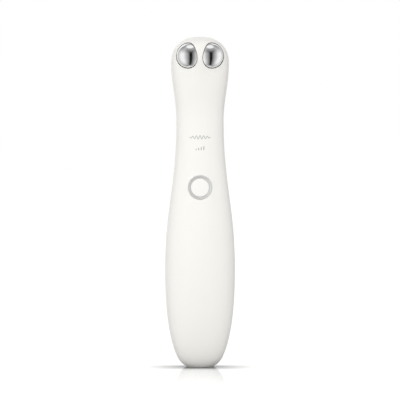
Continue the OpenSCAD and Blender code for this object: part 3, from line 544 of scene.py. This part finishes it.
class Signal:
    """A number or a colour that comes out of a node."""

    def __init__(self, finish, socket):
        self.finish, self.socket = finish, socket

    def maths(self, operation, *values, clamp=False):
        settings = {"operation": operation, "use_clamp": clamp}
        return self.finish.node("Math", settings, dict(enumerate(values)))

    def __add__(self, other):
        return self.maths("ADD", self, other)

    def __sub__(self, other):
        return self.maths("SUBTRACT", self, other)

    def __rsub__(self, other):
        return self.maths("SUBTRACT", other, self)

    def __mul__(self, other):
        return self.maths("MULTIPLY", self, other)

    def __truediv__(self, other):
        return self.maths("DIVIDE", self, other)

    def __rtruediv__(self, other):
        return self.maths("DIVIDE", other, self)

    def __pow__(self, other):
        return self.maths("POWER", self, other)

    def sine(self):
        return self.maths("SINE", self)

    def clamped(self):
        return self.maths("ADD", self, 0.0, clamp=True)

    def magnitude(self):
        return self.maths("ABSOLUTE", self)

    def step(self, low, high):
        """0 below low, 1 above high, and a smooth step between them."""
        sockets = {"Value": self, "From Min": low, "From Max": high}
        return self.finish.node("MapRange", {"interpolation_type": "SMOOTHSTEP"}, sockets)

    __radd__, __rmul__ = __add__, __mul__


class Nodes:
    """The nodes of a material or of the world."""

    def __init__(self, owner):
        owner.use_nodes = True
        self.tree = owner.node_tree
        self.tree.nodes.clear()

    def node(self, kind, settings=None, sockets=None, output=0):
        """Adds a node: first its settings or a ramp's stops, then values or links for its
        sockets."""
        made = self.tree.nodes.new("ShaderNode" + kind)
        for key, value in (settings or {}).items():
            if key == "stops":
                ramp = made.color_ramp.elements
                ramp[0].position, ramp[1].position = value[0][0], value[-1][0]
                ramp[0].color, ramp[1].color = (*value[0][1], 1), (*value[-1][1], 1)
                for at, shade in value[1:-1]:
                    ramp.new(at).color = (*shade, 1)
            else:
                setattr(made, key, value)
        for key, value in (sockets or {}).items():
            socket = made.inputs[key]
            if isinstance(value, Signal):
                self.tree.links.new(value.socket, socket)
            elif isinstance(value, tuple) and len(socket.default_value) == 4:
                socket.default_value = (*value, 1)
            else:
                socket.default_value = value
        return Signal(self, made.outputs[output]) if made.outputs else made


class Finish(Nodes):
    """One procedural material, whose patterns read Object coordinates."""

    def __init__(self, name):
        self.material = bpy.data.materials.new(name)
        super().__init__(self.material)
        self.object_place = self.node("TexCoord", output="Object")

    def noise(self, size, detail=2.0, stretch=(1, 1, 1), rough=0.5):
        """Smooth random values round 0.5, whose lumps are about `size` mm across."""
        squeeze = {"Vector": self.object_place, "Scale": tuple(1 / s for s in stretch)}
        sockets = {"Vector": self.node("Mapping", {}, squeeze), "Scale": 1 / (size * MM)}
        sockets.update(Detail=detail, Roughness=rough)
        return self.node("TexNoise", {"noise_dimensions": "3D"}, sockets)

    def cells(self, size):
        """Distance to the nearest of random points that lie about `size` mm apart."""
        return self.node("TexVoronoi", {}, {"Vector": self.object_place, "Scale": 1 / (size * MM)})

    def axis(self, letter):
        """One object coordinate, in metres."""
        return self.node("SeparateXYZ", {}, {"Vector": self.object_place}, letter)

    def blend(self, amount, first, second):
        """A colour between two colours."""
        settings = {"data_type": "RGBA", "blend_type": "MIX"}
        return self.node("Mix", settings, {0: amount, 6: first, 7: second}, 2)

    def ramp(self, value, *stops):
        """Looks a value up among stops of (place, colour)."""
        return self.node("ValToRGB", {"stops": stops}, {"Fac": value})

    def bump(self, height, depth, strength):
        """Turns a height of 0 to 1, worth `depth` mm, into a normal."""
        sockets = {"Height": height, "Distance": depth * MM, "Strength": strength}
        return self.node("Bump", {}, sockets)

    def surface(self, **sockets):
        """Fills the Principled surface; underscores in a name stand for spaces."""
        named = {key.replace("_", " "): value for key, value in sockets.items()}
        shader = self.node("BsdfPrincipled", {}, named)
        self.node("OutputMaterial", {}, {"Surface": shader})
        return self.material


# %% [markdown]
# ## Plastics
# Moulded white plastic with a satin gloss is never quite even: the gloss wanders a little over
# a few millimetres, and a very fine orange peel breaks up the reflections.

# %% Plastics


def dimmed(shade, share):
    """A colour with each of its parts brought down to a share."""
    return tuple(c * share for c in shade)


def plastic(name, shade, gloss=0.35, peel=0.004, wander=0.06, drift=0.02, grain=0.9, coat=0.0):
    """Moulded plastic: colour drifts by a few percent, gloss wanders, and the skin is peeled."""
    f = Finish(name)
    wide = f.noise(14, 2)
    fine = f.noise(grain, 3)
    return f.surface(
        Base_Color=f.blend(wide, dimmed(shade, 1 - drift), shade),
        Roughness=(fine * 0.5 + wide * 0.5 - 0.5) * wander + gloss,
        Normal=f.bump(fine, peel, 0.6),
        Coat_Weight=coat,
        IOR=1.47,
    )


casing_white = plastic("casing_white", (0.90, 0.885, 0.85), 0.34, 0.002, 0.05, 0.012, 1.2)
button_white = plastic("button_white", (0.91, 0.90, 0.87), 0.30, 0.002, 0.05, 0.010, 1.0)

# %% [markdown]
# ## Metals
# The rollers are chrome plated and polished, so they are almost a mirror, with faint smears
# from use. The ring is satin metal brushed round and round. The small steel pieces are ground
# or plated, and show fine lines along the way that they were made.

# %% Metals


def metal(name, shade, rough, scratch=0.001, lines=(1, 1, 1), smear=0.04, size=0.4):
    """Bare metal with lines stretched along one axis and smears that dull it in places."""
    f = Finish(name)
    fine = f.noise(size, 4, lines, 0.65)
    smears = f.noise(3.5, 3)
    return f.surface(
        Base_Color=f.blend(smears, dimmed(shade, 0.88), shade),
        Metallic=1.0,
        Roughness=(smears * 0.6 + fine * 0.4 - 0.5) * smear + rough,
        Normal=f.bump(fine, scratch, 0.5),
    )


def brushed_ring(name, shade, rough):
    """Circular brushing: noise read at the distance from the ring's own centre line, so it changes
    across the ring and not along it."""
    f = Finish(name)
    x, z = f.axis("X"), f.axis("Z") - BUTTON_Z * MM
    radius = (x * x + z * z) ** 0.5
    reading = f.node("CombineXYZ", {}, {"X": radius * 60, "Y": 0.0, "Z": f.axis("Y") * 60})
    lines = f.node("TexNoise", {}, {"Vector": reading, "Scale": 260.0, "Detail": 4.0})
    patch = f.noise(2.5, 2)
    return f.surface(
        Base_Color=f.blend(lines, dimmed(shade, 0.84), shade),
        Metallic=0.45,
        Roughness=lines * 0.10 + patch * 0.06 + rough,
        Normal=f.bump(lines, 0.004, 0.5),
    )


chrome = metal("polished_chrome", (0.95, 0.95, 0.955), 0.14, 0.0004, (1, 1, 1), 0.04, 0.5)
ring_metal = brushed_ring("ring_metal", (0.90, 0.90, 0.89), 0.34)

# %% [markdown]
# ## Rubber, boards, leads and the rest
# The pieces inside only show when the wand is opened, and each still gets what its real one
# has: solder mask over copper tracks on the boards, pores in the foam, a smooth wrap on the cell.

# %% Inner finishes


def rubber(name, shade, rough=0.7, pores=0.5, depth=0.02):
    """Matte rubber or foam: soft pores, with painted shade that darkens each pore towards its floor.
    """
    f = Finish(name)
    pore = f.cells(pores)
    cloud = f.noise(3, 3)
    return f.surface(
        # Painted shade: the colour falls to 0.7 where the bump is lowest, at each pore's floor.
        Base_Color=f.blend(pore, dimmed(shade, 0.7), shade),
        Roughness=cloud * 0.15 + rough,
        Normal=f.bump(pore, depth, 0.7),
    )


def board(name, mask, copper):
    """Solder mask over tracks: lines 1.4 mm apart across and 2.1 mm apart along, each where a
    squared sine is near 0, broken up by wide noise."""
    f = Finish(name)
    x = (f.axis("X") * (math.pi / (1.4 * MM))).sine()
    z = (f.axis("Z") * (math.pi / (2.1 * MM))).sine()
    patch = f.noise(4.5, 1) * 0.8 - 0.4
    white, black = (1, 1, 1), (0, 0, 0)
    track_x = f.ramp(x * x + patch, (0.0, white), (0.10, white), (0.14, black))
    track_z = f.ramp(z * z - patch, (0.0, white), (0.06, white), (0.10, black))
    track = (track_x + track_z).clamped()
    return f.surface(
        Base_Color=f.blend(track, mask, copper),
        Roughness=f.noise(0.5, 2) * 0.1 + 0.32,
        Normal=f.bump(track, 0.03, 0.8),
    )


print_grey = plastic("print_grey", (0.46, 0.46, 0.45), 0.5, 0.001, 0.05, 0.06, 0.4)
finishes = {
    "casing_white": casing_white,
    "button_white": button_white,
    "polished_chrome": chrome,
    "ring_metal": ring_metal,
    "print_grey": print_grey,
    "cap_grey": plastic("cap_grey", (0.62, 0.62, 0.60), 0.5, 0.006, 0.08, 0.03, 0.35),
    "bush_bronze": metal("bush_bronze", (0.62, 0.42, 0.20), 0.32, 0.002, (1, 1, 6), 0.1),
    "pin_steel": metal("pin_steel", (0.55, 0.55, 0.57), 0.18, 0.001, (1, 1, 8), 0.08),
    "clip_steel": metal("clip_steel", (0.16, 0.16, 0.17), 0.36, 0.002, (1, 1, 1), 0.1),
    "screw_steel": metal("screw_steel", (0.42, 0.42, 0.44), 0.28, 0.002, (5, 1, 1), 0.1, 0.2),
    "cradle_metal": metal("cradle_metal", (0.60, 0.61, 0.62), 0.42, 0.02, (1, 1, 1), 0.12, 0.6),
    "heater_film": plastic("heater_film", (0.62, 0.27, 0.05), 0.28, 0.02, 0.1, 0.25, 0.8, 0.3),
    "sensor_bead": plastic("sensor_bead", (0.02, 0.02, 0.022), 0.22, 0.004, 0.1, 0.2, 0.5, 0.4),
    "switch_black": plastic("switch_black", (0.025, 0.025, 0.027), 0.48, 0.01, 0.1, 0.15, 0.25),
    "board_green": board("board_green", (0.012, 0.085, 0.035), (0.05, 0.19, 0.06)),
    "chip_black": plastic("chip_black", (0.022, 0.022, 0.024), 0.55, 0.012, 0.08, 0.2, 0.18),
    "parts_mixed": plastic("parts_mixed", (0.55, 0.52, 0.42), 0.42, 0.006, 0.1, 0.12, 0.5),
    "lamp_clear": plastic("lamp_clear", (0.80, 0.74, 0.45), 0.15, 0.002, 0.05, 0.08, 0.6, 0.6),
    "frame_grey": plastic("frame_grey", (0.48, 0.48, 0.47), 0.5, 0.01, 0.08, 0.05, 0.5),
    "cell_wrap": plastic("cell_wrap", (0.03, 0.12, 0.33), 0.22, 0.006, 0.1, 0.15, 2.5, 0.3),
    "foam_dark": rubber("foam_dark", (0.035, 0.035, 0.037), 0.85, 0.35, 0.08),
    "boot_rubber": rubber("boot_rubber", (0.022, 0.022, 0.024), 0.6, 0.6, 0.015),
    "motor_steel": metal("motor_steel", (0.60, 0.60, 0.62), 0.22, 0.002, (1, 1, 8), 0.1),
    "weight_metal": metal("weight_metal", (0.36, 0.33, 0.27), 0.45, 0.01, (1, 1, 1), 0.12),
    "socket_steel": metal("socket_steel", (0.56, 0.56, 0.58), 0.24, 0.002, (1, 1, 5), 0.1),
    "lead_red": rubber("lead_red", (0.42, 0.025, 0.02), 0.38, 0.8, 0.006),
    "lead_blue": rubber("lead_blue", (0.03, 0.06, 0.34), 0.38, 0.8, 0.006),
}

# %% [markdown]
# ## Dressing
# The record names a finish for every node of the CAD model. The CAD pieces that stay get theirs
# by that name, and the new pieces get the finish of the node that they replace.

# %% Dress the CAD pieces and the new ones
slot_of = {part["node"]: part["material_slot"] for part in frame["record"]["subparts"]}
for node, thing in frame["nodes"].items():
    finish = finishes[slot_of[node]]
    for holder in thing.material_slots:
        holder.material = finish
for piece, finish in (
    (front, casing_white), (rear, casing_white), (cap, button_white), (ring, ring_metal),
    (prints, print_grey), *((dome, chrome) for dome in domes),
):
    piece.data.materials.clear()
    piece.data.materials.append(finish)
print("finishes:", len(finishes))

# %% [markdown]
# ## The studio
# The photograph has a pure white room, one large soft light close to the front, and a glossy
# white floor that mirrors the foot and holds a thin shadow. The world gives the even part of the
# light. It is white where the camera, a mirror or clear plastic looks at it, and dimmer as a lamp.

# %% White room
ROOM_LIGHT = 0.81
world = bpy.data.worlds.new("white_room")
bpy.context.scene.world = world
room = Nodes(world)
plain_sight = room.node("LightPath", output="Is Camera Ray")
mirrored = room.node("LightPath", output="Is Glossy Ray")
through = room.node("LightPath", output="Is Transmission Ray")
seen = (plain_sight + mirrored + through).clamped()
backdrop = room.node(
    "Background", {}, {"Color": (1, 1, 1), "Strength": seen * (1 - ROOM_LIGHT) + ROOM_LIGHT}
)
room.node("OutputWorld", {}, {"Surface": backdrop})

# %% [markdown]
# The floor adds three layers. One takes light and shadow, one glows a little, and one mirrors
# the foot. The mirror fades out away from the wand, and the glow takes over there, so that the
# far floor is as white as the room from every side. A white wand throws so much light back down
# that its contact shadow nearly fills up, so a shadow is painted into the first two layers: an
# ambient occlusion mask darkens the lit layer's colour and dims the glow where the wand crowds
# the floor. The photograph's shadow is a thin line, so the painted shadow is kept to a band level
# with the foot.

# %% Floor layers
MIRROR_TONE, MIRROR_ROUGH = 0.42, 0.11
FADE_FROM, FADE_TO = 40 * MM, 150 * MM
# The painted shadow: how far its occlusion mask reaches and how sharply it falls, then the band it
# is kept to.
PAINTED_SHADOW_REACH, PAINTED_SHADOW_POWER = 17 * MM, 2.6
SHADOW_BAND_Y, SHADOW_BAND_CORE, SHADOW_BAND_EDGE = -4 * MM, 3 * MM, 15 * MM  # the band's middle and half widths
GLOW_NEAR, GLOW_GAIN = 0.36, 0.46
LIT_TONE, BOUNCE_TONE = (0.33, 0.33, 0.325), (0.56, 0.56, 0.55)

f = Finish("white_floor")
x, y = f.axis("X"), f.axis("Y")
far = ((x * x + y * y) ** 0.5).step(FADE_FROM, FADE_TO)
# Painted shadow: the occlusion factor is 1 in the open and low where the wand crowds the floor;
# outside the band it is lifted back to 1.
free = f.node("AmbientOcclusion", {"samples": 16}, {"Distance": PAINTED_SHADOW_REACH}, "AO") ** PAINTED_SHADOW_POWER
off_shadow_band = (y - SHADOW_BAND_Y).magnitude().step(SHADOW_BAND_CORE, SHADOW_BAND_EDGE)
free = 1 - (1 - free) * (1 - off_shadow_band)
fading = f.blend(far, (MIRROR_TONE,) * 3, (0, 0, 0))
mirror = f.node("BsdfGlossy", {}, {"Color": fading, "Roughness": MIRROR_ROUGH})
# The painted shadow dims the glow and darkens the lit layer's colour.
glow_light = free * (far * GLOW_GAIN + GLOW_NEAR)
glow = f.node("Emission", {}, {"Color": (1, 1, 1), "Strength": glow_light})
lit = f.node("BsdfDiffuse", {}, {"Color": f.blend(free, (0.02,) * 3, LIT_TONE)})
glossy = f.node("AddShader", {}, {0: mirror, 1: glow})
layers = f.node("AddShader", {}, {0: glossy, 1: lit})

# %% [markdown]
# Only the camera sees those layers. To the wand the floor is dull, which keeps the light that
# bounces up off it low, and the same painted shadow darkens that dull colour where the wand
# crowds the floor, which paints shade onto the foot's underside. Seen from below, the floor is
# clear, so that the camera can look at the wand's base.

# %% Floor
FLOOR_REACH, FLOOR_Z = 4000, -0.02
looked_at = f.node("LightPath", output="Is Camera Ray")
# Painted shade: the dull floor that the wand sees is darker where the painted shadow falls.
bounce = f.node("BsdfDiffuse", {}, {"Color": f.blend(free, (0.04,) * 3, BOUNCE_TONE)})
table = f.node("MixShader", {}, {0: looked_at, 1: bounce, 2: layers})
from_below = looked_at * f.node("NewGeometry", output="Backfacing")
clear = f.node("BsdfTransparent", {}, {"Color": (1, 1, 1)})
floor_shader = f.node("MixShader", {}, {0: from_below, 1: table, 2: clear})
f.node("OutputMaterial", {}, {"Surface": floor_shader})
corners = np.array([(-1, -1, 0), (1, -1, 0), (1, 1, 0), (-1, 1, 0)]) * FLOOR_REACH + (0, 0, FLOOR_Z)
mesh = bpy.data.meshes.new("floor")
mesh.from_pydata((corners * MM).tolist(), [], [(0, 1, 2, 3)])
floor = new_piece("floor", mesh)
floor.data.materials.append(f.material)
floor.visible_glossy = False
print("floor from the middle to a side, in m:", FLOOR_REACH * MM)

# %% [markdown]
# Polished metal shows what stands round it. Such a product is photographed in a light tent: a
# dark card in front gives the chrome its black bands, white cloth hangs to the left and to the
# right, and a white wall stands behind. The tent here is a ball that only mirror rays can see.
# Its brightness is a curve over the angle from the card, dimmed towards the top and the bottom,
# with a lamp straight above. Angles are in degrees.

# %% Light tent
TENT_R, TENT_Z = 1000.0, 120.0
CARD_TURN = 9.0  # the dark card stands a little to the right of the camera
CLOTH_CURVE = (
    (0, 0.0), (6, 0.0), (9, 0.05), (15, 0.16), (30, 0.40), (45, 0.60), (60, 0.88),
    (72, 1.0), (95, 1.0), (116, 0.75), (140, 0.55), (180, 0.5),
)  # pairs of an angle from the card's middle and a brightness
DEGREE = math.pi / 180

f = Finish("tent_cloth")
x, y, z = f.axis("X"), f.axis("Y"), f.axis("Z") - TENT_Z * MM
azimuth = x.maths("ARCTAN2", x, y * -1.0) / DEGREE
rise = z.maths("ARCSINE", z / (TENT_R * MM)) / DEGREE
aside = (azimuth - CARD_TURN).magnitude()
around = f.ramp(aside / 180, *[(at / 180, (shade,) * 3) for at, shade in CLOTH_CURVE])
high = 1 - rise.step(12.0, 50.0) * 0.5
low = 1 - (rise * -1.0).step(30.0, 100.0) * 0.85
cloth = around * high * low
veil = rise.step(24.0, 60.0) * 0.36  # the least brightness of the upper cloth
lamp = rise.step(64.0, 74.0)
wall = aside.step(140.0, 150.0) * (1 - rise.step(45.0, 60.0))
light = cloth.maths("MAXIMUM", cloth, veil) * (1 - lamp) + lamp
light = light * (1 - wall) + wall
shine = f.node("Emission", {}, {"Color": (1, 1, 1), "Strength": light})
f.node("OutputMaterial", {}, {"Surface": shine})
f.material.cycles.emission_sampling = "NONE"
profile = arc(0, 0, TENT_R, -90, 90, 64)
tent = turned("tent", profile, lambda points: points + (0, 0, TENT_Z), 96)
tent.data.materials.append(f.material)
for ray in ("camera", "diffuse", "transmission", "volume_scatter", "shadow"):
    setattr(tent, "visible_" + ray, False)
print("tent faces:", len(tent.data.polygons))

# %% [markdown]
# A soft box is a wide flat lamp, so its shadows are soft. The key light stands close in front,
# low and a little to the left, and makes the belly brighter than the head. A faint light above
# lifts the crown. A third box lights the rear for a look from behind, and from the front it
# hardly shows.

# %% Soft boxes


def soft_box(name, azimuth, rise, away, width, height, share, aim=(0, 0, 90)):
    """A lamp that faces the wand from a sphere round it. Azimuth 0 is the camera's side and 90 the
    right. The share is its light on a wall that faces it: 1 makes white plastic render white."""
    a, e = math.radians(azimuth), math.radians(rise)
    back = Vector((math.sin(a) * math.cos(e), -math.cos(a) * math.cos(e), math.sin(e)))
    lamp = bpy.data.lights.new(name, "AREA")
    lamp.shape, lamp.size, lamp.size_y = "RECTANGLE", width * MM, height * MM
    lamp.energy = share * (math.pi * away * MM) ** 2
    thing = bpy.data.objects.new(name, lamp)
    thing.location = (back * away + Vector(aim)) * MM
    thing.rotation_euler = back.to_track_quat("Z", "Y").to_euler()
    thing.visible_camera = thing.visible_glossy = False
    bpy.context.scene.collection.objects.link(thing)
    print(name, "watts:", round(lamp.energy, 2))


soft_box(
    "key_light", azimuth=-10, rise=6, away=420, width=300, height=260, share=0.445, aim=(0, 0, 60)
)
soft_box("top_light", azimuth=0, rise=64, away=1100, width=700, height=700, share=0.03)
soft_box("back_light", azimuth=-160, rise=12, away=1100, width=700, height=700, share=0.30)
